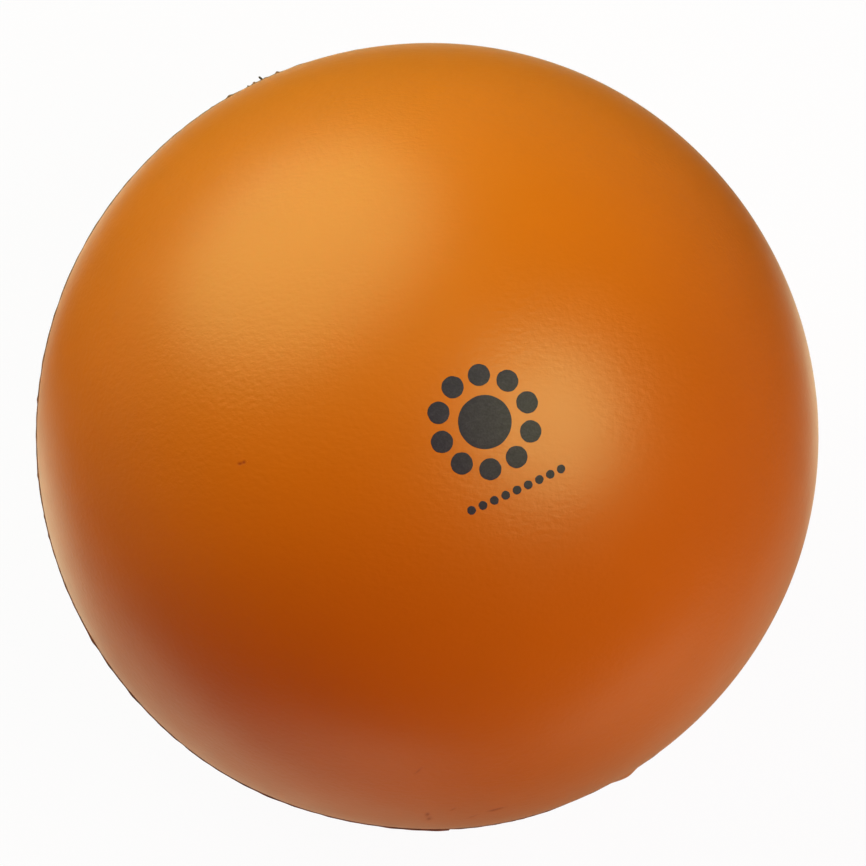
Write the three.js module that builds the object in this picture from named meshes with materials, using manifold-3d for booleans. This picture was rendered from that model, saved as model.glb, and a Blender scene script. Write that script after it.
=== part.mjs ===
// Soft play ball: a moulded foam core in a two-part polyurethane skin.
// Millimetres, +Z up along the mould axis, with the origin in the middle of the flat patch under the ball.
import * as THREE from "three";
import { mergeVertices } from "three/addons/utils/BufferGeometryUtils.js";
import Module from "manifold-3d";

// Driving dimensions
const BALL_DIAMETER = 200;
const SKIN_WALL = 1.0;
const BOND_GAP = 0.3; // left between the foam and what is bonded to it
const REST_DEPTH = 1.2; // how far the foam gives way under the ball's own weight
const SEAM_WEB = 0.8; // thickness of the flash that joins the two skins
const SEAM_GAP = 0.3; // left between the flash and each skin's rim
const SEAM_PROUD = 0.3; // height of the flash once it is trimmed
const GATE_DIAMETER = 7.0; // seal over the hole that the foam was poured through
const GATE_GAP = 0.3; // left around the seal
const GATE_PROUD = 0.75; // height of the seal's dome over the skin
const GATE_BEARING = 300.5; // degrees from +X towards +Y, seen from above

// Facets
const CHORD_TOLERANCE = 0.2; // furthest that a facet lies inside its true curve
const CREST_STEPS = 6; // facets across the crest of the flash
const DOME_STEPS = 6; // facets from the edge of the seal's dome to its top

// Sizes that follow
const BALL_RADIUS = BALL_DIAMETER / 2;
const SKIN_INNER_RADIUS = BALL_RADIUS - SKIN_WALL;
const CORE_RADIUS = SKIN_INNER_RADIUS - BOND_GAP;
const RIM_HEIGHT = SEAM_WEB / 2 + SEAM_GAP;
const GATE_RADIUS = GATE_DIAMETER / 2;
const GATE_HOLE_RADIUS = GATE_RADIUS + GATE_GAP;
const TOP = Math.PI / 2;

const wasm = await Module();
wasm.setup();

// Sides of a regular polygon that stays within the chord tolerance, in whole quarters of a turn.
function sidesFor(radius) {
  const sides = Math.PI / Math.acos(1 - CHORD_TOLERANCE / radius);
  return 4 * Math.ceil(sides / 4);
}

const BALL_SIDES = sidesFor(BALL_RADIUS);
const RING_STEP = (2 * Math.PI) / BALL_SIDES;

// Points of a sphere's meridian, with rings at the same latitudes on every layer of the ball.
function meridian(radius, from, to) {
  const latitudes = [from];
  const margin = RING_STEP / 4;
  for (let ring = -BALL_SIDES / 4; ring <= BALL_SIDES / 4; ring++) {
    const latitude = ring * RING_STEP;
    if (latitude > from + margin && latitude < to - margin) latitudes.push(latitude);
  }
  latitudes.push(to);
  return latitudes.map((latitude) =>
    latitude === TOP
      ? new THREE.Vector2(0, radius)
      : new THREE.Vector2(radius * Math.cos(latitude), radius * Math.sin(latitude)),
  );
}

// Latitude where a layer of the ball meets the flat that it rests on.
const flatLatitude = (radius) => -Math.asin((radius - REST_DEPTH) / radius);

// Latitude of a skin's rim, on its outer or its inner face.
const rimLatitude = (radius) => Math.asin(RIM_HEIGHT / radius);

// Middle of the flat of a layer of the ball.
const flatCentre = (radius) => new THREE.Vector2(0, REST_DEPTH - radius);

// A profile of (radius, height) points turned about +Z.
function turned(profile, sides) {
  return new THREE.LatheGeometry(profile, sides).rotateX(Math.PI / 2);
}

function solidOf(geometry) {
  const bare = new THREE.BufferGeometry();
  bare.setAttribute("position", geometry.getAttribute("position"));
  bare.setIndex(geometry.getIndex());
  const merged = mergeVertices(bare);
  return new wasm.Manifold(
    new wasm.Mesh({
      numProp: 3,
      vertProperties: merged.getAttribute("position").array,
      triVerts: new Uint32Array(merged.getIndex().array),
    }),
  );
}

function cut(geometry, cutter) {
  const { vertProperties, triVerts } = solidOf(geometry).subtract(solidOf(cutter)).getMesh();
  const made = new THREE.BufferGeometry();
  made.setAttribute("position", new THREE.BufferAttribute(vertProperties, 3));
  made.setIndex(new THREE.BufferAttribute(triVerts, 1));
  return made;
}

// Turns a shape made about +Z so that it points out of the ball at the gate.
function towardsGate(geometry) {
  return geometry.rotateY(Math.PI / 2).rotateZ(THREE.MathUtils.degToRad(GATE_BEARING));
}

// Hole for the gate, from the ball's centre to past the seal.
function gateHole() {
  const reach = BALL_RADIUS + SEAM_PROUD + GATE_PROUD;
  const profile = [
    new THREE.Vector2(0, 0),
    new THREE.Vector2(GATE_HOLE_RADIUS, 0),
    new THREE.Vector2(GATE_HOLE_RADIUS, reach),
    new THREE.Vector2(0, reach),
  ];
  return towardsGate(turned(profile, sidesFor(GATE_HOLE_RADIUS)));
}

function foamCore() {
  const profile = [flatCentre(CORE_RADIUS), ...meridian(CORE_RADIUS, flatLatitude(CORE_RADIUS), TOP)];
  return turned(profile, BALL_SIDES);
}

function upperSkin() {
  const face = (radius) => meridian(radius, rimLatitude(radius), TOP);
  const profile = [...face(SKIN_INNER_RADIUS).reverse(), ...face(BALL_RADIUS)];
  return cut(turned(profile, BALL_SIDES), gateHole());
}

function lowerSkin() {
  const face = (radius) => meridian(radius, flatLatitude(radius), -rimLatitude(radius));
  const outer = [flatCentre(BALL_RADIUS), ...face(BALL_RADIUS)];
  const inner = [flatCentre(SKIN_INNER_RADIUS), ...face(SKIN_INNER_RADIUS)];
  const profile = [...outer, ...inner.reverse()];
  return cut(turned(profile, BALL_SIDES), gateHole());
}

// Flash of the mould's parting line: a web between the two rims, with a rounded crest left by the trimming.
function seamBead() {
  const profile = [new THREE.Vector2(SKIN_INNER_RADIUS, SEAM_WEB / 2)];
  profile.push(new THREE.Vector2(SKIN_INNER_RADIUS, -SEAM_WEB / 2));
  for (let step = 0; step <= CREST_STEPS; step++) {
    const angle = Math.PI * (step / CREST_STEPS - 0.5);
    const radius = BALL_RADIUS + SEAM_PROUD * Math.cos(angle);
    profile.push(new THREE.Vector2(radius, (SEAM_WEB / 2) * Math.sin(angle)));
  }
  profile.push(profile[0].clone());
  return cut(turned(profile, BALL_SIDES), gateHole());
}

// Dab of skin compound in the gate: a plug through the skin, with a dome over it.
function gateSeal() {
  const shoulder = Math.sqrt(BALL_RADIUS ** 2 - GATE_RADIUS ** 2);
  const rise = BALL_RADIUS + GATE_PROUD - shoulder;
  const profile = [new THREE.Vector2(0, SKIN_INNER_RADIUS)];
  profile.push(new THREE.Vector2(GATE_RADIUS, SKIN_INNER_RADIUS));
  for (let step = 0; step < DOME_STEPS; step++) {
    const angle = (TOP * step) / DOME_STEPS;
    profile.push(new THREE.Vector2(GATE_RADIUS * Math.cos(angle), shoulder + rise * Math.sin(angle)));
  }
  profile.push(new THREE.Vector2(0, shoulder + rise));
  return towardsGate(turned(profile, sidesFor(GATE_RADIUS)));
}

const SKIN_FINISH = { color: "#d87a1c", roughness: 0.5, metalness: 0 };
const SEAM_FINISH = { color: "#b8601a", roughness: 0.6, metalness: 0 };
const FOAM_FINISH = { color: "#e3cf9c", roughness: 0.95, metalness: 0 };

const ball = new THREE.Group();
ball.position.z = BALL_RADIUS - REST_DEPTH;

function addPiece(name, geometry, finish) {
  const mesh = new THREE.Mesh(geometry, new THREE.MeshStandardMaterial(finish));
  mesh.name = name;
  ball.add(mesh);
}

addPiece("foam_core", foamCore(), FOAM_FINISH);
addPiece("upper_skin", upperSkin(), SKIN_FINISH);
addPiece("lower_skin", lowerSkin(), SKIN_FINISH);
addPiece("seam_bead", seamBead(), SEAM_FINISH);
addPiece("gate_seal", gateSeal(), SKIN_FINISH);

const part = new THREE.Group();
part.add(ball);

export default part;
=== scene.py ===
# %% [markdown]
# # A soft foam play ball
# The ball comes here as plain solids: a foam core, two half skins, the flash of the seam between them
# and the seal over the gate that the foam was poured through. This lesson gives each of them the
# surface that the real one has. The solids stay the frame: every new mesh is built around their sizes,
# in metres, in the same place.

# %% Load the solids
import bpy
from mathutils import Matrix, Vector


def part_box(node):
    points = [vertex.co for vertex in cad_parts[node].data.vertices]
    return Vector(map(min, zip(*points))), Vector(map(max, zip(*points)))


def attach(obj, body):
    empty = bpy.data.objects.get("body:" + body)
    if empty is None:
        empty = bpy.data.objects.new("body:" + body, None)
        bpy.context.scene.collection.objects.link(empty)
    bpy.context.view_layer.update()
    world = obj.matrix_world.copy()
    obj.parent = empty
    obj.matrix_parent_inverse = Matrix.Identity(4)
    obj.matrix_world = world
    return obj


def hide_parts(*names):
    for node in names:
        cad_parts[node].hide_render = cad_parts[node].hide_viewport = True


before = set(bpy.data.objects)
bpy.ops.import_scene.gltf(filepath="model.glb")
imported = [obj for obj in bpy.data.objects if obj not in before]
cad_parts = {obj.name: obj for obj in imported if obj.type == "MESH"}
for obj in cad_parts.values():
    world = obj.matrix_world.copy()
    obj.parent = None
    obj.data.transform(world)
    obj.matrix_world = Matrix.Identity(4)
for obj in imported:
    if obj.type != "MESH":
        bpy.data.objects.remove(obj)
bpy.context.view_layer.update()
print("solids:", ", ".join(sorted(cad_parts)))

# %% [markdown]
# ## Sizes
# A dressed mesh that repeats the solids' sizes as typed numbers goes wrong when the solids change. So
# the main sizes are read from the solids' boxes: the seam's box gives the height of the centre, the top
# of the upper skin gives the radius, and the seal's box gives the bearing of the gate. Blender counts
# in metres, so small sizes are written in millimetres times MM.

# %% Read the sizes from the solids
import math

import bmesh
import bpy
import numpy as np
from mathutils import Matrix, Vector

MM = 0.001
seam_low, seam_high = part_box("seam_bead")
seal_low, seal_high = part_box("gate_seal")
CENTRE = Vector((0, 0, (seam_low.z + seam_high.z) / 2))
BALL_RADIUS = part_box("upper_skin")[1].z - CENTRE.z
FOAM_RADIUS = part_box("foam_core")[1].z - CENTRE.z
GATE_BEARING = math.atan2(seal_low.y + seal_high.y, seal_low.x + seal_high.x)
SKIN_WALL = 1.0 * MM
print(f"ball: radius {BALL_RADIUS / MM:.1f} mm, centre {CENTRE.z / MM:.1f} mm over the floor")
print(f"gate: {math.degrees(GATE_BEARING) % 360:.1f} degrees from +X")

# %% [markdown]
# ## Camera
# The photograph shows a circle with no other cue to the distance, so a long lens is chosen, at ten
# diameters. The place of the circle in the picture, 866 pixels wide, then fixes the lens and the
# sideways shift of the camera. The seam shows in profile along the lower left of the outline and hides
# on the right, so the camera stands a few degrees off the mould axis, towards that side.

# %% Place the camera
PICTURE = 866
BALL_PIXELS = 392.4
BALL_PIXEL_X, BALL_PIXEL_Y = 427.4, 435.9
CAMERA_DISTANCE = 20 * BALL_RADIUS
CAMERA_LEAN = math.radians(5)
CAMERA_BEARING = math.radians(206)

view = Vector((
    math.sin(CAMERA_LEAN) * math.cos(CAMERA_BEARING),
    math.sin(CAMERA_LEAN) * math.sin(CAMERA_BEARING),
    math.cos(CAMERA_LEAN),
))
right = Vector((0, 1, 0)).cross(view).normalized()
up = view.cross(right)
focal = BALL_PIXELS * math.sqrt((CAMERA_DISTANCE / BALL_RADIUS) ** 2 - 1)
aside = right * (PICTURE / 2 - BALL_PIXEL_X) + up * (BALL_PIXEL_Y - PICTURE / 2)
eye = CENTRE + view * CAMERA_DISTANCE + aside * CAMERA_DISTANCE / focal

camera = bpy.data.objects.new("camera", bpy.data.cameras.new("camera"))
camera.matrix_world = Matrix.Translation(eye) @ Matrix((right, up, view)).transposed().to_4x4()
camera.data.lens = focal / PICTURE * camera.data.sensor_width
bpy.context.scene.collection.objects.link(camera)
bpy.context.scene.camera = camera
print(f"camera: lens {camera.data.lens:.0f} mm at {CAMERA_DISTANCE:.2f} m")

# %% [markdown]
# Small marks are easiest to place by where they are seen. This helper sends a ray from the camera
# through a pixel of the picture and returns the direction, from the ball's centre, of the point where
# the ray meets the ball.

# %% Find a point of the ball by its pixel
def on_ball(x, y):
    ray = (right * (x - PICTURE / 2) - up * (y - PICTURE / 2) - view * focal).normalized()
    start = eye - CENTRE
    along = start.dot(ray)
    reach = along ** 2 - start.length_squared + BALL_RADIUS ** 2
    return (start - ray * (along + math.sqrt(reach))).normalized()


print("middle of the picture meets the ball at", [round(c, 3) for c in on_ball(PICTURE / 2, PICTURE / 2)])

# %% [markdown]
# ## Relief of the skin
# A moulded foam ball is never a true sphere: it has a few wide lumps, it is a little out of round along
# the seam, and its skin has shallow ripples and nicks. All of that is one function from a direction to
# a height, so the half skins, the print and the seal can all be laid on the same surface. The lumps and
# ripples are sums of cosines along random directions, which are soft, have no grid in them and come out
# the same in every run.

# %% Lumps, ripples and swellings
# Number of waves, shortest and longest wave and height in millimetres, and seed
LUMPS = (18, 90, 220, 0.06, 3)
RIPPLES = (60, 14, 40, 0.012, 4)
# Bearing in degrees, height in millimetres and half width in degrees of each swelling along the seam
SWELLINGS = [
    (15, -0.33, 28),
    (67, 0.45, 22),
    (180, -0.34, 22),
    (237, 0.42, 14),
    (281, 0.38, 14),
    (322, -0.12, 18),
]
SWELLING_LATITUDE = math.radians(35)


def waves(directions, count, shortest, longest, height, seed):
    random = np.random.default_rng(seed)
    axes = random.normal(size=(count, 3))
    axes /= np.linalg.norm(axes, axis=1, keepdims=True)
    turns = 2 * math.pi * BALL_RADIUS / random.uniform(shortest * MM, longest * MM, count)
    starts = random.uniform(0, 2 * math.pi, count)
    return height * MM * np.cos(directions @ axes.T * turns + starts).sum(axis=1) / math.sqrt(count)


def swellings(directions):
    bearings = np.degrees(np.arctan2(directions[:, 1], directions[:, 0]))
    fade = np.exp(-((np.arcsin(np.clip(directions[:, 2], -1, 1)) / SWELLING_LATITUDE) ** 2))
    total = np.zeros(len(directions))
    for bearing, height, width in SWELLINGS:
        away = (bearings - bearing + 180) % 360 - 180
        total += height * MM * np.exp(-((away / width) ** 2))
    return total * fade


print(f"swellings: {len(SWELLINGS)} along the seam")

# %% [markdown]
# The nicks are drawn on the tangent plane at their own place: long, narrow hollows with a raised lip,
# placed by the pixel where the photograph shows them. The same list tells the material where dirt has
# settled in them.

# %% Nicks
# Pixel, half length, half width and depth in millimetres, turn in degrees and share of dirt of each nick
NICKS = [
    (240.0, 463.8, 0.60, 0.34, 0.04, 8, 1.0),
    (243.9, 462.3, 0.46, 0.40, 0.04, 20, 1.0),
    (427.5, 814.0, 1.60, 0.50, 0.06, 86, 0.7),
    (429.5, 818.0, 1.90, 0.55, 0.06, 84, 0.7),
    (418.5, 771.0, 1.70, 0.32, 0.04, 58, 0.35),
    (453.5, 808.5, 1.30, 0.36, 0.04, 70, 0.35),
    (472.5, 815.5, 1.70, 0.36, 0.04, 70, 0.35),
    (492.5, 809.4, 1.20, 0.80, 0.05, 43, 0.65),
    (499.0, 807.4, 1.20, 0.75, 0.04, 43, 0.5),
]
# Share of a nick's depth, and distance and half width in half widths of the nick, of the lip around it
LIP_SHARE, LIP_REACH, LIP_WIDTH = 0.25, 1.9, 0.5


def nick_marks():
    for x, y, length, width, depth, turn, dirt in NICKS:
        middle = on_ball(x, y)
        across = up.cross(middle).normalized()
        angle = math.radians(turn)
        along = across * math.cos(angle) + middle.cross(across) * math.sin(angle)
        yield middle, along, length * MM, width * MM, depth * MM, dirt


def nicks(directions):
    height, stain = np.zeros(len(directions)), np.zeros(len(directions))
    for middle, along, length, width, depth, dirt in nick_marks():
        facing = directions @ np.array(middle) > 0
        x = directions @ np.array(along) * BALL_RADIUS / length
        y = directions @ np.array(middle.cross(along)) * BALL_RADIUS / width
        reach = np.sqrt(x ** 2 + y ** 2)
        lip = LIP_SHARE * np.exp(-((reach - LIP_REACH) / LIP_WIDTH) ** 2)
        height -= facing * depth * (np.exp(-reach ** 2) - lip)
        stain += facing * np.exp(-reach ** 2) * dirt
    return height, np.clip(stain, 0, 1)


def relief(directions):
    height = waves(directions, *LUMPS) + waves(directions, *RIPPLES)
    return height + swellings(directions) + nicks(directions)[0]


sides = np.array([(0, 0, 1), (0, 0, -1), (1, 0, 0), (0, 1, 0)], float)
print("relief at two poles and two sides:", np.round(relief(sides) / MM, 2), "mm")

# %% [markdown]
# ## A sphere without poles
# A sphere of meridians crowds its faces at two poles, and here the print sits near one of them. A cube
# whose six sides are grids, blown up to a sphere, has faces of nearly one size everywhere. The tangent
# spreads the grid lines evenly, and an even number of cells puts a grid line exactly on the seam, so
# the ball can be cut there.

# %% Build a unit sphere from six grids
CUBE_SIDES = [("X", 0), ("X", 90), ("X", 180), ("X", 270), ("Y", 90), ("Y", 270)]
JOIN_SHARE = 0.2  # of a cell: points closer than this are one point


def quad_sphere(cells):
    mesh = bmesh.new()
    for axis, degrees in CUBE_SIDES:
        place = Matrix.Rotation(math.radians(degrees), 4, axis) @ Matrix.Translation((0, 0, 1))
        bmesh.ops.create_grid(mesh, x_segments=cells, y_segments=cells, size=1, matrix=place)
    bmesh.ops.remove_doubles(mesh, verts=mesh.verts, dist=JOIN_SHARE / cells)
    for vertex in mesh.verts:
        vertex.co = Vector([math.tan(c * math.pi / 4) for c in vertex.co]).normalized()
    bmesh.ops.recalc_face_normals(mesh, faces=mesh.faces)
    return mesh


def half_sphere(cells, side):
    mesh = quad_sphere(cells)
    beyond = [v for v in mesh.verts if v.co.z * side < -JOIN_SHARE / cells]
    bmesh.ops.delete(mesh, geom=beyond, context="VERTS")
    for vertex in mesh.verts:
        if abs(vertex.co.z) < JOIN_SHARE / cells:
            vertex.co.z = 0
    return mesh


def finish_mesh(name, mesh):
    data = bpy.data.meshes.new(name)
    mesh.to_mesh(data)
    mesh.free()
    data.polygons.foreach_set("use_smooth", [True] * len(data.polygons))
    made = bpy.data.objects.new(name, data)
    bpy.context.scene.collection.objects.link(made)
    print(f"{name}: {len(data.polygons)} faces")
    return made


print(f"sphere: {len(CUBE_SIDES)} grids")

# %% [markdown]
# ## Half skins
# Each half skin is a shell one millimetre thick. Its outer face follows the relief, its rim rolls in
# towards the seam as a moulded edge does, and its inner face is a plain half sphere on the foam. A
# Solidify modifier could add the wall, but it can't roll the rim, so the rim is extruded ring by ring
# and the inner face is a second grid that meets the last ring. First the grid is cut finer where a nick
# lies, so that the nick is real geometry.

# %% Cut the grid finer at the nicks
# Reach from a nick's middle, in millimetres, and the cuts that every edge inside it takes
NICK_CUTS = [(4.5, 3), (2.2, 2)]


def refine_at_nicks(mesh, side):
    for middle, *_ in nick_marks():
        if middle.z * side < 0:
            continue
        for reach, cuts in NICK_CUTS:
            near = [v for v in mesh.verts if (v.co - middle).length < reach * MM / BALL_RADIUS]
            inside = set(near)
            edges = {e for v in near for e in v.link_edges if e.other_vert(v) in inside}
            bmesh.ops.subdivide_edges(mesh, edges=list(edges), cuts=cuts, use_grid_fill=True)
    for vertex in mesh.verts:
        vertex.co.normalize()


print(f"finer grid at {len(NICKS)} nicks")

# %% [markdown]
# The half grid ends in the seam's middle, but the real skin ends a little short of it. So every point
# is moved along its meridian until the grid's edge is at the rim, and is then lifted to the relief. The
# roll of the rim is a handful of rings, each extruded from the one before.

# %% Lay the outer face and roll its rim
RIM_LIFT = 1.2 * MM
# Depth under the ball's surface and height over the seam's middle, in millimetres, round the rolled rim
RIM_ROLL = [(0.02, 0.85), (0.08, 0.6), (0.2, 0.45), (0.4, 0.38), (1.0, 0.36)]


def raise_to_rim(mesh, side):
    lift = math.asin(RIM_LIFT / BALL_RADIUS)
    for vertex in mesh.verts:
        bearing = math.atan2(vertex.co.y, vertex.co.x)
        latitude = math.asin(max(-1, min(1, abs(vertex.co.z))))
        latitude = side * (lift + latitude * (1 - 2 * lift / math.pi))
        flat = math.cos(latitude)
        vertex.co = (flat * math.cos(bearing), flat * math.sin(bearing), math.sin(latitude))


def lay_on_relief(mesh):
    directions = np.array([v.co[:] for v in mesh.verts])
    for vertex, height in zip(mesh.verts, relief(directions)):
        vertex.co *= BALL_RADIUS + height


def roll_rim(mesh, side):
    for depth, height in RIM_ROLL:
        edge = [e for e in mesh.edges if e.is_boundary]
        new = bmesh.ops.extrude_edge_only(mesh, edges=edge)["geom"]
        ring = [g for g in new if isinstance(g, bmesh.types.BMVert)]
        outward = [Vector((v.co.x, v.co.y, 0)).normalized() for v in ring]
        swell = relief(np.array([o[:] for o in outward])) * (1 - depth * MM / SKIN_WALL)
        for vertex, direction, extra in zip(ring, outward, swell):
            vertex.co = direction * (BALL_RADIUS + extra - depth * MM)
            vertex.co.z = side * height * MM


print(f"rim: {len(RIM_ROLL)} rings")

# %% [markdown]
# Under the ball the skin is pressed flat on the floor, and its inner face with it. The inner face ends
# in as many points as the last ring of the rim has, at the same bearings, so the two are welded where
# they meet.

# %% Press the bottom flat and line the skin
SKIN_CELLS = 96
RIM_WELD = 0.05 * MM


def press_on_floor(mesh, depth):
    floor = depth - CENTRE.z
    for vertex in mesh.verts:
        vertex.co.z = max(vertex.co.z, floor)


def add_inner_face(mesh, side):
    inner = half_sphere(SKIN_CELLS, side)
    rim_height = RIM_ROLL[-1][1] * MM
    for vertex in inner.verts:
        lift = side * rim_height * (1 - abs(vertex.co.z))
        vertex.co *= BALL_RADIUS - SKIN_WALL
        vertex.co.z += lift
    press_on_floor(inner, SKIN_WALL)
    data = bpy.data.meshes.new("inner_face")
    inner.to_mesh(data)
    inner.free()
    mesh.from_mesh(data)
    bpy.data.meshes.remove(data)
    bmesh.ops.remove_doubles(mesh, verts=mesh.verts, dist=RIM_WELD)


print(f"grid: {SKIN_CELLS} cells along each side of the cube")

# %% [markdown]
# The steps then follow each other, once for each half. At the end every point learns how much dirt lies
# on it, as an attribute of the mesh, because a material can't ask for the list of nicks.

# %% Shape the two half skins
def write_dirt_and_shade(piece, dirt):
    piece.data.attributes.new("dirt", "FLOAT", "POINT").data.foreach_set("value", dirt)


def half_skin(name, side):
    mesh = half_sphere(SKIN_CELLS, side)
    refine_at_nicks(mesh, side)
    raise_to_rim(mesh, side)
    lay_on_relief(mesh)
    roll_rim(mesh, side)
    press_on_floor(mesh, 0)
    add_inner_face(mesh, side)
    bmesh.ops.recalc_face_normals(mesh, faces=mesh.faces)
    bmesh.ops.translate(mesh, verts=mesh.verts, vec=CENTRE)
    made = finish_mesh(name, mesh)
    points = np.array([v.co[:] for v in made.data.vertices]) - np.array(CENTRE)
    outward = points / np.linalg.norm(points, axis=1, keepdims=True)
    write_dirt_and_shade(made, nicks(outward)[1])
    return made


top_skin = half_skin("top_skin", 1)
bottom_skin = half_skin("bottom_skin", -1)

# %% [markdown]
# ## Foam filling
# The foam is poured through the gate and fills the skins, so it is a ball with the same flat under it.
# It can't be seen, but a part that is cut open or shown in pieces needs it, so it gets a slightly lumpy
# surface.

# %% Shape the foam filling
FOAM_CELLS = 48
# As for the lumps of the skin
FOAM_LUMPS = (40, 6, 25, 0.04, 8)


def foam_ball():
    mesh = quad_sphere(FOAM_CELLS)
    directions = np.array([v.co[:] for v in mesh.verts])
    for vertex, height in zip(mesh.verts, waves(directions, *FOAM_LUMPS)):
        vertex.co *= FOAM_RADIUS + height
    press_on_floor(mesh, BALL_RADIUS - FOAM_RADIUS)
    bmesh.ops.translate(mesh, verts=mesh.verts, vec=CENTRE)
    return finish_mesh("foam_filling", mesh)


foam_filling = foam_ball()

# %% [markdown]
# ## Seam flash
# Where two halves of a mould meet, a thin web of skin compound squeezes out, and it is trimmed off by
# hand. What is left is a low crest that wavers, with nicks and bumps, a strip at the bottom that the
# knife left standing, and a few crumbs and slivers at the top left. One ring mesh carries the crest:
# its section is a small list of points, and only the height changes round the ring. A bevelled curve
# would be shorter to write, but its height can't change that fast.

# %% Height of the crest round the seam
FLASH_HEIGHT = 0.24 * MM
FLASH_WAVER = 0.01 * MM
WAVER_TURNS = range(4, 150, 7)
WAVER_SEED = 11
# Bearing in degrees, height in millimetres and half width in degrees of each bump or notch
FLASH_BUMPS = [
    (112.55, 0.40, 0.28), (114.45, 0.2, 0.3), (116.25, 0.38, 0.22), (117.25, 0.36, 0.12),
    (120.35, 0.34, 0.4), (123.4, 0.14, 0.3), (174.8, 0.13, 0.35), (175.6, -0.06, 0.3),
    (186.0, 0.14, 0.4), (192.0, 0.12, 0.3), (195.0, 0.14, 0.4), (211.5, 0.10, 0.9),
    (216.0, 0.12, 0.8), (221.0, 0.16, 0.9), (232.0, -0.1, 1.2), (246.0, 0.1, 1.0),
    (284.0, 0.12, 0.5), (291.0, -0.12, 1.5), (8.0, 0.12, 0.6), (41.0, -0.1, 1.0),
    (77.0, 0.14, 0.5), (95.0, -0.1, 0.8), (338.0, 0.16, 0.7),
]
# Bearings in degrees between which the knife left a strip, and its height in millimetres at the second one
FLASH_STRIPS = [(260.0, 273.2, 0.3), (203.0, 212.2, 0.06)]


def crest(bearings):
    random = np.random.default_rng(WAVER_SEED)
    height = np.full(len(bearings), FLASH_HEIGHT)
    for turns in WAVER_TURNS:
        start = random.uniform(0, 2 * math.pi)
        height += FLASH_WAVER * np.cos(np.radians(bearings) * turns + start)
    for bearing, bump, width in FLASH_BUMPS:
        away = (bearings - bearing + 180) % 360 - 180
        height += bump * MM * np.exp(-((away / width) ** 2))
    for first, last, strip in FLASH_STRIPS:
        share = (bearings - first) / (last - first)
        height += strip * MM * np.where((share > 0) & (share < 1), share, 0)
    return height


print(f"crest: {crest(np.arange(360.0)).mean() / MM:.2f} mm high on average")

# %% [markdown]
# The flash, its slivers, the gate's dab and the print are all rows of rings of points. One helper joins
# each ring to the next with faces. A closed row joins its last ring to its first, and an open one gets
# a cap at each end.
#
# A sliver is a shaving that still hangs on by one end: a long, flat spike, with its foot inside the
# crest.

# %% Join rings of points, and shape a sliver
# Bearing of the foot, in degrees, length and half width in millimetres, and lean in degrees
SLIVERS = [(114.85, 1.6, 0.27, 26), (116.35, 0.75, 0.12, -20), (119.75, 0.7, 0.12, 35)]
SLIVER_SUNK = 0.15 * MM
SLIVER_THICKNESS = 0.6  # of its width
# Share of the length and of the width at each ring of a sliver
SLIVER_TAPER = [(0, 0.8), (0.3, 1), (0.75, 1), (0.92, 0.75), (1, 0.3)]


def skin_over(mesh, rings, closed):
    count = len(rings[0])
    following = rings[1:] + rings[:1] if closed else rings[1:]
    for ring, after in zip(rings, following):
        for here in range(count):
            there = (here + 1) % count
            mesh.faces.new((ring[here], ring[there], after[there], after[here]))
    if not closed:
        mesh.faces.new(rings[0][::-1])
        mesh.faces.new(rings[-1])


def add_sliver(mesh, bearing, length, width, lean):
    outward = Vector((math.cos(math.radians(bearing)), math.sin(math.radians(bearing)), 0))
    turned = Matrix.Rotation(math.radians(lean), 3, "Z") @ outward
    foot = outward * (BALL_RADIUS - SLIVER_SUNK)
    side = Vector((0, 0, 1)).cross(turned) * width * MM
    thick = Vector((0, 0, width * MM * SLIVER_THICKNESS))
    corners = (side + thick, thick - side, -side - thick, side - thick)
    rings = []
    for share, taper in SLIVER_TAPER:
        middle = foot + turned * length * MM * share
        rings.append([mesh.verts.new(middle + corner * taper) for corner in corners])
    skin_over(mesh, rings, closed=False)


print(f"slivers: {len(SLIVERS)}")

# %% [markdown]
# The section of the flash is mirrored about the seam's middle. Its points near the surface follow the
# relief, and some of them the crest, while the deep ones stay at the foot of the web. The slivers are
# added last, so their points follow all the others, and the same attribute that holds the skin's dirt
# darkens them alone: on the slivers it is painted shade.

# %% Shape the seam flash
FLASH_STEPS = 2880
# Share of the crest's height, depth under the skin and height over the seam's middle, in millimetres
FLASH_SECTION = [(0, 0.95, 0.32), (0, 0.16, 0.32), (0.55, 0, 0.27), (1, 0, 0.1)]
FOOT_DEPTH = 0.5


def flash_ring():
    mesh = bmesh.new()
    bearings = np.arange(FLASH_STEPS) * 360 / FLASH_STEPS
    angles = np.radians(bearings)
    outward = np.stack([np.cos(angles), np.sin(angles), 0 * angles], axis=1)
    section = FLASH_SECTION + [(share, depth, -height) for share, depth, height in FLASH_SECTION[::-1]]
    rings = []
    for direction, base, top in zip(outward, relief(outward), crest(bearings)):
        ring = []
        for share, depth, height in section:
            reach = BALL_RADIUS - depth * MM + (base + share * top if depth < FOOT_DEPTH else 0)
            ring.append(mesh.verts.new((direction[0] * reach, direction[1] * reach, height * MM)))
        rings.append(ring)
    skin_over(mesh, rings, closed=True)
    clean = len(mesh.verts)
    for sliver in SLIVERS:
        add_sliver(mesh, *sliver)
    bmesh.ops.recalc_face_normals(mesh, faces=mesh.faces)
    bmesh.ops.translate(mesh, verts=mesh.verts, vec=CENTRE)
    made = finish_mesh("seam_flash", mesh)
    # Painted shade on the slivers alone.
    write_dirt_and_shade(made, [0.0] * clean + [1.0] * (len(made.data.vertices) - clean))
    return made


seam_flash = flash_ring()

# %% [markdown]
# ## Gate dab
# The pouring hole is closed with a dab of skin compound, wiped on with a finger: a long slope on one
# side, a steeper one with a soft foot on the other. A squashed sphere would have a hard foot all round,
# so the dab is a disc of rings whose height is a formula of the distance from its middle, laid on the
# same relief as the skin under it. One more ring, sunk in the skin, closes it underneath.

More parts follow.
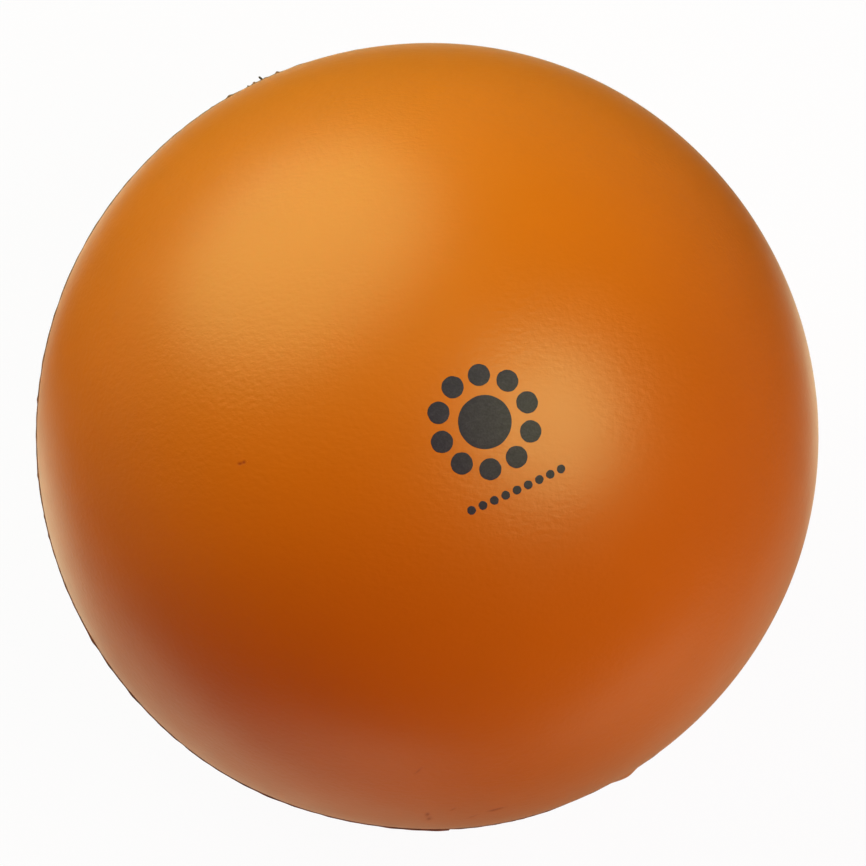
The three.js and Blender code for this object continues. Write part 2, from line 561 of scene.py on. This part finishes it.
# %% Shape the gate dab
DAB_HEIGHT = 0.9 * MM
DAB_BEHIND, DAB_AHEAD, DAB_ACROSS = 6.6 * MM, 4.8 * MM, 11 * MM
DAB_RINGS, DAB_SPOKES = 24, 72
DAB_CROWN, DAB_FOOT = 1.8, 2.2
DAB_EDGE = -0.02 * MM
DAB_SUNK = -0.35 * MM
DAB_SUNK_REACH = 0.97


def dab_height(reach):
    return DAB_HEIGHT * (1 - reach ** DAB_CROWN) ** DAB_FOOT


def gate_blob():
    outward = Vector((math.cos(GATE_BEARING), math.sin(GATE_BEARING), 0))
    onward = Vector((-outward.y, outward.x, 0))
    mesh = bmesh.new()

    def point(reach, rise, spoke):
        angle = 2 * math.pi * spoke / DAB_SPOKES
        ahead, over = math.cos(angle), math.sin(angle)
        length = DAB_AHEAD if ahead > 0 else DAB_BEHIND
        flat = onward * reach * ahead * length
        flat.z = reach * over * DAB_ACROSS
        direction = (outward * BALL_RADIUS + flat).normalized()
        height = relief(np.array([direction[:]]))[0]
        return mesh.verts.new(direction * (BALL_RADIUS + height + rise))

    steps = [(DAB_SUNK_REACH, DAB_SUNK)]
    for ring in range(DAB_RINGS):
        reach = 1 - ring / DAB_RINGS
        steps.append((reach, dab_height(reach) + DAB_EDGE))
    rings = [[point(reach, rise, spoke) for spoke in range(DAB_SPOKES)] for reach, rise in steps]
    skin_over(mesh, rings, closed=False)
    bmesh.ops.recalc_face_normals(mesh, faces=mesh.faces)
    bmesh.ops.translate(mesh, verts=mesh.verts, vec=CENTRE)
    return finish_mesh("gate_dab", mesh)


gate_dab = gate_blob()

# %% [markdown]
# ## Print
# The mark near the top is pad printed: a film of ink a few hundredths of a millimetre thick, pressed on
# by a rubber pad. It could be drawn in the skin's material, but then it couldn't be repainted or taken
# off as a piece. So it is a film of its own. The mark is a plain one: a disc in a ring of dots, with a
# row of small dots under it. Each spot is a stack of rings on the tangent plane, laid on the relief,
# with an edge that wavers a little as ink does.

# %% Shape a spot of ink
INK_RISE, INK_SUNK = 0.03 * MM, 0.03 * MM
# Inset in millimetres and rise of each ring at the edge of a spot
INK_EDGE = [(0.05, -INK_SUNK), (0, 0), (0.03, INK_RISE * 0.8), (0.1, INK_RISE)]
# Share of the spot's radius of each ring inside
INK_RINGS = (0.75, 0.5, 0.25)
EDGE_WAVER = 0.035 * MM
EDGE_TURNS = (2, 3, 5, 7, 11)
LEAST_SPOKES, SPOKES_PER_THIRD = 24, 4


def print_plane(x, y):
    middle = on_ball(x, y)
    across = up.cross(middle).normalized()
    return middle, across, middle.cross(across)


def add_spot(mesh, plane, x, y, radius, random):
    middle, across, upward = plane
    thirds = round(radius / MM * 3)
    spokes = LEAST_SPOKES + SPOKES_PER_THIRD * thirds
    angles = np.arange(spokes) * 2 * math.pi / spokes
    edge = np.zeros(spokes)
    for turns in EDGE_TURNS:
        wave = np.cos(angles * turns + random.uniform(0, 2 * math.pi))
        edge += wave / math.sqrt(len(EDGE_TURNS)) * EDGE_WAVER
    steps = [(radius + edge - inset * MM, rise) for inset, rise in INK_EDGE]
    steps += [((radius + edge) * share, INK_RISE) for share in INK_RINGS]
    rings = []
    for reach, rise in steps:
        flat = np.array(middle) * BALL_RADIUS
        flat = flat + np.outer(x + reach * np.cos(angles), across)
        flat = flat + np.outer(y + reach * np.sin(angles), upward)
        directions = flat / np.linalg.norm(flat, axis=1, keepdims=True)
        points = directions * (BALL_RADIUS + relief(directions) + rise)[:, None]
        rings.append([mesh.verts.new(p) for p in points])
    skin_over(mesh, rings, closed=False)


print(f"ink: {INK_RISE / MM:.2f} mm thick")

# %% [markdown]
# The mark and the row each have their own tangent plane, at the pixel of their middle. The row leans a
# little, and the ring of dots is turned by the same angle.

# %% Lay out the print
MARK_PIXEL_X, MARK_PIXEL_Y = 485, 422
ROW_PIXEL_X, ROW_PIXEL_Y = 517, 490
ROW_TILT = math.radians(24.7)
DISC_RADIUS = 6.6 * MM
DOT_COUNT, DOT_RADIUS, DOT_CIRCLE = 10, 2.75 * MM, 11.6 * MM
ROW_COUNT, ROW_DOT_RADIUS, ROW_PITCH = 9, 1.1 * MM, 3.05 * MM
INK_SEED = 21


def print_film():
    mesh = bmesh.new()
    random = np.random.default_rng(INK_SEED)
    mark = print_plane(MARK_PIXEL_X, MARK_PIXEL_Y)
    add_spot(mesh, mark, 0, 0, DISC_RADIUS, random)
    for dot in range(DOT_COUNT):
        angle = 2 * math.pi * dot / DOT_COUNT + ROW_TILT
        add_spot(mesh, mark, DOT_CIRCLE * math.cos(angle), DOT_CIRCLE * math.sin(angle), DOT_RADIUS, random)
    row = print_plane(ROW_PIXEL_X, ROW_PIXEL_Y)
    for dot in range(ROW_COUNT):
        along = (dot - (ROW_COUNT - 1) / 2) * ROW_PITCH
        add_spot(mesh, row, along * math.cos(ROW_TILT), along * math.sin(ROW_TILT), ROW_DOT_RADIUS, random)
    bmesh.ops.recalc_face_normals(mesh, faces=mesh.faces)
    bmesh.ops.translate(mesh, verts=mesh.verts, vec=CENTRE)
    return finish_mesh("print_film", mesh)


print_marks = print_film()

# %% [markdown]
# ## Writing materials as sums
# A material is a graph of nodes, and most of it is plain arithmetic. So a socket that carries a number
# is wrapped in a small class that overloads Python's operators: an expression such as 1 - mask then
# adds its Math nodes by itself.

# %% A socket that can be reckoned with
class Value:
    def __init__(self, finish, socket):
        self.finish, self.socket = finish, socket

    def maths(self, operation, first, second):
        return self.finish.node("Math", {"operation": operation}, {0: first, 1: second})

    def __add__(self, other):
        return self.maths("ADD", self, other)

    def __sub__(self, other):
        return self.maths("SUBTRACT", self, other)

    def __rsub__(self, other):
        return self.maths("SUBTRACT", other, self)

    def __mul__(self, other):
        return self.maths("MULTIPLY", self, other)

    def __lt__(self, other):
        return self.maths("LESS_THAN", self, other)

    def __gt__(self, other):
        return self.maths("GREATER_THAN", self, other)

    __radd__, __rmul__ = __add__, __mul__


print("operators: + - * < >")

# %% [markdown]
# Every other node comes from one method, which sets the node's settings first and then fills or links
# its sockets. The few that are needed often, such as a mix of two colours or a bump, have a short form.

# %% A node tree that adds its own nodes
class Finish:
    def __init__(self, tree):
        self.tree = tree
        tree.nodes.clear()

    def node(self, kind, settings=None, sockets=None, output=0):
        made = self.tree.nodes.new("ShaderNode" + kind)
        for name, value in (settings or {}).items():
            if name == "stops":
                self.set_stops(made.color_ramp, value)
            else:
                setattr(made, name, value)
        for name, value in (sockets or {}).items():
            socket = made.inputs[name]
            if isinstance(value, Value):
                self.tree.links.new(value.socket, socket)
            elif socket.type == "RGBA":
                socket.default_value = (*value, 1)
            else:
                socket.default_value = value
        return Value(self, made.outputs[output]) if made.outputs else made

    def set_stops(self, ramp, stops):
        while len(ramp.elements) > 1:
            ramp.elements.remove(ramp.elements[-1])
        ramp.elements[0].position = stops[0][0]
        ramp.elements[0].color = (*stops[0][1], 1)
        for position, colour in stops[1:]:
            ramp.elements.new(position).color = (*colour, 1)

    def mix(self, factor, first, second):
        return self.node("Mix", {"data_type": "RGBA"}, {0: factor, 6: first, 7: second}, output=2)

    def noise(self, place, size, detail):
        return self.node("TexNoise", sockets={"Vector": place, "Scale": 1 / size, "Detail": detail})

    def stretched(self, place, stretch):
        return self.node("VectorMath", {"operation": "MULTIPLY"}, {0: place, 1: stretch})

    def bump(self, height, depth, strength=1.0):
        return self.node("Bump", sockets={"Strength": strength, "Distance": depth, "Height": height})

    def surface(self, shader):
        self.node("OutputMaterial", sockets={"Surface": shader})


def new_finish(name):
    material = bpy.data.materials.new(name)
    material.use_nodes = True
    return material, Finish(material.node_tree)


def report(material):
    print(f"{material.name}: {len(material.node_tree.nodes)} nodes")
    return material


print("finishes can be mixed")

# %% [markdown]
# ## Skin finish
# The skin is polyurethane sprayed in the mould: satin, with a fine grain like thin leather, about one
# and a half millimetres from crease to crease, and a little uneven in gloss. The grain is far too fine
# for the mesh, so it is a bump. Two noises make it: round pebbles, and creases that are drawn out along
# one direction and come in patches.

# %% Grain of the skin
GRAIN_PITCH = 1.5 * MM
GRAIN_DEPTH = 0.1 * MM
PEBBLE_SHARE = 0.6
CREASE_PITCH = 0.8 * GRAIN_PITCH
CREASE_STRETCH = (0.45, 1.1, 1.0)
PATCH_SIZE = 22 * MM


def grain_height(finish, place):
    pebbles = finish.noise(place, GRAIN_PITCH, detail=2.5)
    creases = finish.noise(finish.stretched(place, CREASE_STRETCH), CREASE_PITCH, detail=2.0)
    patches = finish.noise(place, PATCH_SIZE, detail=1.0)
    return pebbles * PEBBLE_SHARE + creases * patches


print(f"grain: {GRAIN_PITCH / MM:.1f} mm from crease to crease")

# %% [markdown]
# The colour is one orange, faintly mottled. Dirt in the nicks comes from the mesh's attribute, and a
# few pale specks of dust are the middles of sparse Voronoi cells.

# %% Mix the skin finish
SKIN_ORANGE, SKIN_DEEP = (0.66, 0.161, 0.0016), (0.61, 0.149, 0.0014)
MOTTLE_SIZE, GLOSS_SIZE = 30 * MM, 9 * MM
DIRT_BROWN, DIRT_COVER = (0.30, 0.020, 0.0008), 0.85
DUST_PALE, DUST_COVER = (0.72, 0.42, 0.16), 0.6
DUST_PITCH, DUST_RADIUS = 28 * MM, 0.25 * MM
SKIN_ROUGHNESS, GLOSS_SPREAD, DIRT_ROUGHNESS = 0.33, 0.08, 0.2
SKIN_IOR = 1.5


def skin_finish():
    material, finish = new_finish("skin_satin")
    place = finish.node("TexCoord", output="Object")
    mottle = finish.noise(place, MOTTLE_SIZE, detail=3.0)
    colour = finish.mix(mottle, SKIN_DEEP, SKIN_ORANGE)
    dust_cell = finish.node(
        "TexVoronoi", sockets={"Vector": place, "Scale": 1 / DUST_PITCH}, output="Distance"
    )
    dust = dust_cell < DUST_RADIUS / DUST_PITCH
    colour = finish.mix(dust * DUST_COVER, colour, DUST_PALE)
    dirt = finish.node("Attribute", {"attribute_name": "dirt"}, output="Fac")
    colour = finish.mix(dirt * DIRT_COVER, colour, DIRT_BROWN)
    gloss = finish.noise(place, GLOSS_SIZE, detail=3.0)
    finish.surface(finish.node("BsdfPrincipled", sockets={
        "Base Color": colour,
        "Roughness": SKIN_ROUGHNESS + gloss * GLOSS_SPREAD + dirt * DIRT_ROUGHNESS,
        "Normal": finish.bump(grain_height(finish, place), GRAIN_DEPTH),
        "IOR": SKIN_IOR,
    }))
    return report(material)


skin_satin = skin_finish()

# %% [markdown]
# ## Flash finish
# The trimmed flash is the same compound cut open, so it is matt, with fine scratches along the knife's
# way. Its brown is far darker than the skin's orange: that is painted shade, the dark line along the
# ball's outline where the flash shows. A noise that is squeezed along the mould axis draws the
# scratches, which is simpler than a wave texture bent round the ball.

# %% Mix the flash finish
# Painted shade: both browns stand for the dark line along the outline, and a noise mixes them at random.
FLASH_SHADE_BROWN, FLASH_SHADE_DARK = (0.32, 0.145, 0.075), (0.16, 0.066, 0.034)
# Painted shade: the slivers are darkened to near black.
SLIVER_SHADE_DARK = (0.030, 0.018, 0.010)
STAIN_SIZE = 3 * MM
STAIN_STOPS = [(0.35, FLASH_SHADE_DARK), (0.65, FLASH_SHADE_BROWN)]
SCRATCH_SIZE, SCRATCH_DEPTH, SCRATCH_STRENGTH = 0.6 * MM, 0.03 * MM, 0.8
SCRATCH_STRETCH = (1, 1, 6)
FLASH_ROUGHNESS, STAIN_ROUGHNESS = 0.6, 0.2


def flash_finish():
    material, finish = new_finish("flash_cut")
    place = finish.node("TexCoord", output="Object")
    stain = finish.noise(place, STAIN_SIZE, detail=4.0)
    colour = finish.node("ValToRGB", {"stops": STAIN_STOPS}, {"Fac": stain})
    # Here the attribute is painted shade on the slivers; on the skin it is dirt in the nicks.
    dirt = finish.node("Attribute", {"attribute_name": "dirt"}, output="Fac")
    scratches = finish.noise(finish.stretched(place, SCRATCH_STRETCH), SCRATCH_SIZE, detail=3.0)
    finish.surface(finish.node("BsdfPrincipled", sockets={
        "Base Color": finish.mix(dirt, colour, SLIVER_SHADE_DARK),
        "Roughness": FLASH_ROUGHNESS + stain * STAIN_ROUGHNESS,
        "Normal": finish.bump(scratches, SCRATCH_DEPTH, SCRATCH_STRENGTH),
        "IOR": SKIN_IOR,
    }))
    return report(material)


flash_cut = flash_finish()

# %% [markdown]
# ## Foam finish
# The foam is cream coloured with cells of about a millimetre. A smooth Voronoi gives each cell a rounded
# top and a dark rim, which is painted shade in the creases between the cells, and a wide noise keeps the
# tone from being the same all over.

# %% Mix the foam finish
FOAM_CREAM, FOAM_SHADE = (0.78, 0.63, 0.36), (0.50, 0.36, 0.16)
CELL_SIZE, CELL_DEPTH, CELL_SHADE = 1.1 * MM, 0.25 * MM, 0.7
TONE_SIZE, TONE_SHADE = 12 * MM, 0.3
FOAM_ROUGHNESS, TONE_ROUGHNESS = 0.9, 0.08
FOAM_IOR = 1.45


def foam_finish():
    material, finish = new_finish("foam_cells")
    place = finish.node("TexCoord", output="Object")
    cells = finish.node("TexVoronoi", {"feature": "SMOOTH_F1"}, {"Vector": place, "Scale": 1 / CELL_SIZE})
    tone = finish.noise(place, TONE_SIZE, detail=3.0)
    finish.surface(finish.node("BsdfPrincipled", sockets={
        "Base Color": finish.mix(cells * CELL_SHADE + tone * TONE_SHADE, FOAM_CREAM, FOAM_SHADE),
        "Roughness": FOAM_ROUGHNESS + tone * TONE_ROUGHNESS,
        "Normal": finish.bump(1 - cells, CELL_DEPTH),
        "IOR": FOAM_IOR,
    }))
    return report(material)


foam_cells = foam_finish()

# %% [markdown]
# ## Ink finish
# The ink is charcoal, more matt than the skin, and the grain under it shows through: on its high spots
# the film is thin and a little lighter. So the ink takes its bump from the skin's grain, with a fine
# speckle of its own.

# %% Mix the ink finish
INK_CHARCOAL, INK_THIN = (0.030, 0.026, 0.042), (0.050, 0.043, 0.062)
SPECKLE_SIZE, SPECKLE_HEIGHT = 0.5 * MM, 0.3
THIN_CONTRAST = 1.6
THIN_STOPS = [(0.3, (0, 0, 0)), (0.8, (1, 1, 1))]
INK_ROUGHNESS, SPECKLE_ROUGHNESS = 0.42, 0.12
INK_SPECULAR = 0.2


def ink_finish():
    material, finish = new_finish("ink_charcoal")
    place = finish.node("TexCoord", output="Object")
    height = grain_height(finish, place)
    speckle = finish.noise(place, SPECKLE_SIZE, detail=2.0)
    thin = finish.node("ValToRGB", {"stops": THIN_STOPS}, {"Fac": speckle * height * THIN_CONTRAST})
    finish.surface(finish.node("BsdfPrincipled", sockets={
        "Base Color": finish.mix(thin, INK_CHARCOAL, INK_THIN),
        "Roughness": INK_ROUGHNESS + speckle * SPECKLE_ROUGHNESS,
        "Normal": finish.bump(height + speckle * SPECKLE_HEIGHT, GRAIN_DEPTH),
        "IOR": SKIN_IOR,
        "Specular IOR Level": INK_SPECULAR,
    }))
    return report(material)


ink_charcoal = ink_finish()

# %% [markdown]
# ## Put the pieces on the frame
# Every piece rides on the ball's one body and stands for the solid that it dresses, which it hides.
# The print stands for no solid, because ink has no strength of its own.

# %% Dress the solids
def dress(piece, material, slot, *nodes):
    piece.data.materials.append(material)
    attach(piece, "root")
    if nodes:
        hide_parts(*nodes)
    print(piece.name, "wears", material.name)


dress(top_skin, skin_satin, "skin", "upper_skin")
dress(bottom_skin, skin_satin, "skin", "lower_skin")
dress(gate_dab, skin_satin, "skin", "gate_seal")
dress(seam_flash, flash_cut, "seam", "seam_bead")
dress(foam_filling, foam_cells, "foam", "foam_core")
dress(print_marks, ink_charcoal, "print_ink")

# %% [markdown]
# ## Floor
# The ball stands on a sheet of white paper. The paper glows for the camera, so the picture's ground is
# white without more light on the ball. The glow is weaker under the ball, where the paper is shaded,
# and what isn't glow is plain matt white that takes the ball's shadow. A satin ball mirrors the floor
# all along its outline, and the photograph shows there how unevenly the sheet was lit: bright at the
# left, dim at the bottom and dark at the top. So reflections see pools of light on a dark sheet, each
# with a soft edge.

# %% Pools of light for the reflections
POOL_WARM = (1.0, 0.98, 0.64)
# Bearing in degrees, distance and reach in metres, and brightness of each pool of light
POOLS = [
    (75, 0.020, 0.165, 3.40),
    (9, 0.140, 0.074, 1.45),
    (122, 1.070, 0.500, 3.80),
    (147, 0.110, 0.064, 0.80),
    (191, 0.145, 0.076, 1.30),
    (231, 0.214, 0.217, 1.00),
    (259, 0.532, 0.310, 1.40),
    (278, 0.240, 0.150, 0.22),
    (311, 0.592, 0.350, 1.32),
    (330, 0.195, 0.200, 0.50),
]


def soft_step(finish, away, near, far, at_near, at_far):
    return finish.node("MapRange", {"interpolation_type": "SMOOTHSTEP"}, {
        "Value": away,
        "From Min": near,
        "From Max": far,
        "To Min": at_near,
        "To Max": at_far,
    })


def pool_light(finish, place, bearing, distance, reach, brightness):
    angle = math.radians(bearing)
    middle = (distance * math.cos(angle), distance * math.sin(angle), 0)
    away = finish.node("VectorMath", {"operation": "DISTANCE"}, {0: place, 1: middle}, output="Value")
    return soft_step(finish, away, 0.0, reach, brightness, 0.0)


print(f"pools: {len(POOLS)}")

# %% [markdown]
# What a ray sees depends on its kind. The camera, also through glass, sees the glow, a mirrored ray
# sees the pools, and all other rays see the matt paper, so the floor lights the ball from below only as
# paper does.

# %% Lay the floor
FLOOR_SIZE = 8.0
FLOOR_WHITE = (0.85, 0.84, 0.82)
FIBRE_SIZE, FIBRE_PALE = 0.4 * MM, 0.1
FLOOR_GLOW, SHADED_GLOW = 0.95, 0.3
SHADED_REACH, CLEAR_REACH = 0.02, 0.1


def floor_finish():
    material, finish = new_finish("floor_paper")
    place = finish.node("TexCoord", output="Object")
    fibre = finish.noise(place, FIBRE_SIZE, detail=2.0)
    white = finish.mix(fibre * FIBRE_PALE, FLOOR_WHITE, (1, 1, 1))
    paper = finish.node("BsdfDiffuse", sockets={"Color": white})
    away = finish.node("VectorMath", {"operation": "LENGTH"}, {0: place}, output="Value")
    clear = soft_step(finish, away, SHADED_REACH, CLEAR_REACH, 0.0, 1.0)
    pools = sum(pool_light(finish, place, *pool) for pool in POOLS) * clear
    mirrored = finish.node("VectorMath", {"operation": "SCALE"}, {"Vector": POOL_WARM, "Scale": pools})
    camera_ray = finish.node("LightPath", output="Is Camera Ray")
    glossy_ray = finish.node("LightPath", output="Is Glossy Ray")
    through_ray = finish.node("LightPath", output="Is Transmission Ray")
    glow = finish.node("Emission", sockets={
        "Color": finish.mix(glossy_ray, (1, 1, 1), mirrored),
        "Strength": 1.0,
    })
    shown = FLOOR_GLOW * (SHADED_GLOW + (1 - SHADED_GLOW) * clear)
    seen = (camera_ray + through_ray) * shown + glossy_ray
    finish.surface(finish.node("MixShader", sockets={0: seen, 1: paper, 2: glow}))
    return report(material)


floor_mesh = bmesh.new()
bmesh.ops.create_grid(floor_mesh, x_segments=1, y_segments=1, size=FLOOR_SIZE / 2)
floor = finish_mesh("floor", floor_mesh)
floor.data.materials.append(floor_finish())

# %% [markdown]
# ## Light
# A soft box does two things: it lights the ball, and it gleams on it. Here the two are set apart, so
# that each can follow the photograph. The lights hide from reflections: they make the shading, yellow
# from the upper left and redder from below. The two panels hide from the shading: they are what gleams,
# a wide one low at the upper left and a smaller one overhead at the right. All are round. A ray may
# also meet a lamp by chance, and Cycles then blends the two ways of finding it, which blurs what is
# hidden from what. So each lamp is only sampled directly.
#
# A strength is the brightness that a white card which faces the lamp gets, and a direction is given in
# the camera's own axes: right, up, towards the camera.

# %% Hang the lights and the panels
LAMP_DISTANCE = 1.2
# Name, direction, size in metres, strength and colour
LIGHTS = [
    ("key_light", (-0.48, 0.73, 0.48), 0.8, 0.836, (0.91, 1.0, 0.80)),
    ("back_light", (0.0, 0.97, 0.15), 0.9, 0.305, (0.36, 1.0, 0.57)),
    ("side_light", (0.561, 0.081, 0.824), 0.9, 0.636, (1.0, 0.65, 0.69)),
    ("right_light", (0.87, -0.48, 0.1), 0.9, 0.167, (0.96, 1.0, 0.83)),
    ("front_light", (0.2, -0.97, 0.1), 0.9, 0.262, (1.0, 0.56, 0.65)),
    ("left_light", (-0.9, -0.4, 0.1), 0.9, 0.245, (1.0, 0.06, 0.44)),
]
PANELS = [
    ("key_panel", (-0.52, 0.763, 0.362), 1.6, 1.73, (0.78, 1.0, 0.34)),
    ("side_panel", (0.561, 0.081, 0.824), 0.9, 0.925, (0.9, 1.0, 0.38)),
]


def hang_lamp(name, direction, size, strength, colour):
    data = bpy.data.lights.new(name, "AREA")
    data.shape = "DISK"
    data.size = size
    data.color = colour
    data.energy = strength * math.pi ** 2 * LAMP_DISTANCE ** 2
    data.cycles.use_multiple_importance_sampling = False
    lamp = bpy.data.objects.new(name, data)
    aim = (right * direction[0] + up * direction[1] + view * direction[2]).normalized()
    place = Matrix.Translation(CENTRE + aim * LAMP_DISTANCE)
    lamp.matrix_world = place @ aim.to_track_quat("Z", "Y").to_matrix().to_4x4()
    lamp.visible_camera = False
    bpy.context.scene.collection.objects.link(lamp)
    print(f"{name}: {data.energy:.1f} W")
    return lamp


for light in LIGHTS:
    hang_lamp(*light).visible_glossy = False
for panel in PANELS:
    hang_lamp(*panel).visible_diffuse = False

# %% [markdown]
# The room behind the sheet is pale where the camera sees it and nearly dark for everything else, so the
# middle of the ball mirrors next to nothing.

# %% Dim the room
ROOM_PALE, ROOM_DARK = (0.955, 0.955, 0.955), (0.01, 0.009, 0.008)
ROOM_MIRRORED = 0.012

world = bpy.context.scene.world or bpy.data.worlds.new("room")
bpy.context.scene.world = world
world.use_nodes = True
room = Finish(world.node_tree)
camera_ray = room.node("LightPath", output="Is Camera Ray")
through_ray = room.node("LightPath", output="Is Transmission Ray")
glossy_ray = room.node("LightPath", output="Is Glossy Ray")
tone = room.mix(camera_ray + through_ray + glossy_ray * ROOM_MIRRORED, ROOM_DARK, ROOM_PALE)
backdrop = room.node("Background", sockets={"Color": tone, "Strength": 1.0})
room.node("OutputWorld", sockets={"Surface": backdrop})
bpy.context.scene.view_settings.view_transform = "Standard"
print("room:", len(world.node_tree.nodes), "nodes")
